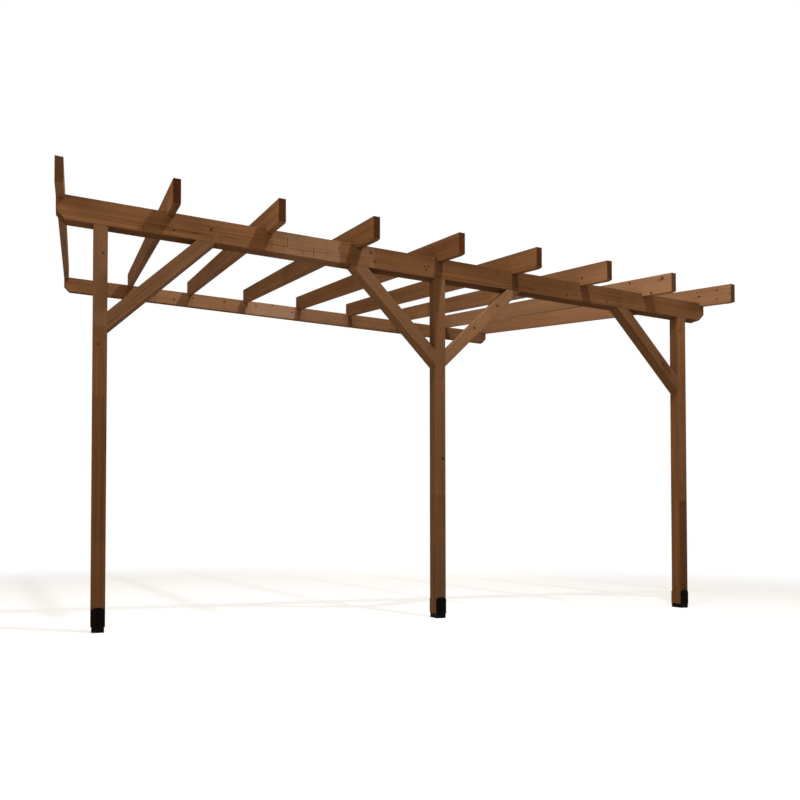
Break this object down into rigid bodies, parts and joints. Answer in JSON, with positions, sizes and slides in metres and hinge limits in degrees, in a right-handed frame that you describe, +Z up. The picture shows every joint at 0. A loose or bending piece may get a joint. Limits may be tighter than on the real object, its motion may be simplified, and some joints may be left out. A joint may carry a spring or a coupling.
{
  "type": "lean-to carport frame",
  "caption": "Open timber lean-to carport frame: posts in steel feet carry a braced front beam, and sloping rafters notched over it rise to a beam on the house wall.",
  "frame": {"origin": "centre of the wall beam's back face, the face that is fixed to the house wall", "axes": "+X along the beams, to the right as seen from the front; +Y into the wall, with the posts towards -Y; +Z up"},
  "size_m": [5.62, 3.755, 3.7386],
  "materials": {
    "stained_timber": "planed laminated softwood with a walnut-brown satin stain",
    "foot_steel": "satin black powder coat"
  },
  "bodies": {
    "root": {"front_beam": "stained_timber", "wall_beam": "stained_timber", "post_left": "stained_timber", "post_centre": "stained_timber", "post_right": "stained_timber", "foot_left": "foot_steel", "foot_centre": "foot_steel", "foot_right": "foot_steel", "rafter_1": "stained_timber", "rafter_2": "stained_timber", "rafter_3": "stained_timber", "rafter_4": "stained_timber", "rafter_5": "stained_timber", "rafter_6": "stained_timber", "rafter_7": "stained_timber", "rafter_8": "stained_timber", "rafter_9": "stained_timber", "brace_left": "stained_timber", "brace_centre_left": "stained_timber", "brace_centre_right": "stained_timber", "brace_right": "stained_timber"}
  },
  "joints": []
}
